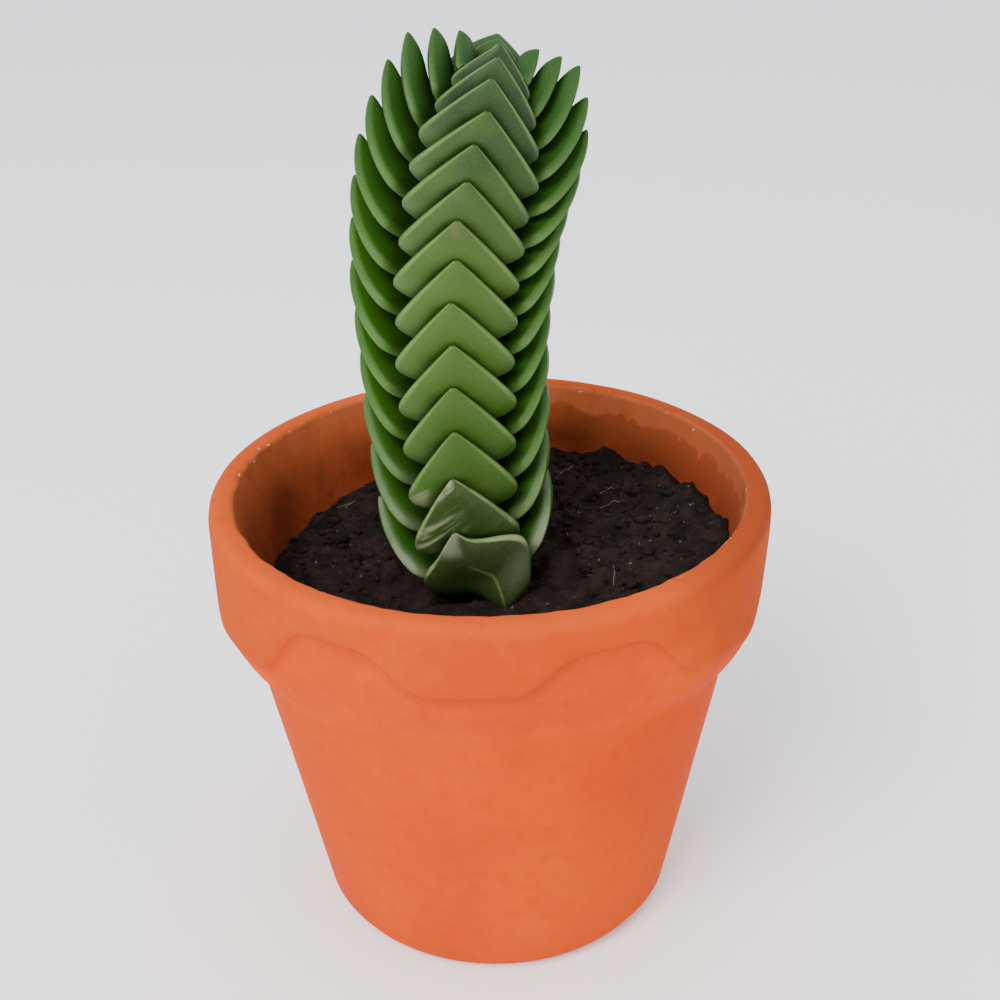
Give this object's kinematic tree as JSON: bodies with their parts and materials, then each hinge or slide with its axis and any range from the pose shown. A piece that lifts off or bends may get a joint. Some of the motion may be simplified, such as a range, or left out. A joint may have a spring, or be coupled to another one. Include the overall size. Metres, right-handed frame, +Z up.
{
  "type": "potted crassula",
  "caption": "Upright square column of tightly stacked, crossed fleshy leaf pairs, rooted in dark soil in a small tapered clay pot with a scalloped collar.",
  "frame": {"origin": "centre of the pot's foot, on the ground", "axes": "+Z up along the pot's axis; -Y is the front, the side that one rank of leaves faces; +X to the right seen from the front"},
  "size_m": [0.09, 0.09, 0.1465],
  "materials": {
    "clay": "unglazed orange fired clay, matte, slightly mottled",
    "earth": "dark moist potting soil, matte and clumpy",
    "stem_green": "green living stem, satin",
    "leaf_green": "fleshy green leaf with a fine grey bloom, satin",
    "young_leaf_green": "fleshy bluish-green young leaf, satin"
  },
  "bodies": {
    "root": {"pot": "clay", "soil": "earth", "stem": "stem_green", "growing_tip": "young_leaf_green", "leaf_pair_01": "leaf_green", "leaf_pair_02": "leaf_green", "leaf_pair_03": "leaf_green", "leaf_pair_04": "leaf_green", "leaf_pair_05": "leaf_green", "leaf_pair_06": "leaf_green", "leaf_pair_07": "leaf_green", "leaf_pair_08": "leaf_green", "leaf_pair_09": "leaf_green", "leaf_pair_10": "leaf_green", "leaf_pair_11": "leaf_green", "leaf_pair_12": "leaf_green", "leaf_pair_13": "leaf_green", "leaf_pair_14": "leaf_green", "leaf_pair_15": "leaf_green", "leaf_pair_16": "leaf_green", "leaf_pair_17": "leaf_green", "leaf_pair_18": "leaf_green", "leaf_pair_19": "leaf_green", "leaf_pair_20": "leaf_green", "leaf_pair_21": "leaf_green", "leaf_pair_22": "leaf_green", "leaf_pair_23": "leaf_green", "leaf_pair_24": "leaf_green", "leaf_pair_25": "leaf_green", "leaf_pair_26": "leaf_green", "leaf_pair_27": "leaf_green", "leaf_pair_28": "leaf_green", "leaf_pair_29": "leaf_green"}
  },
  "joints": []
}
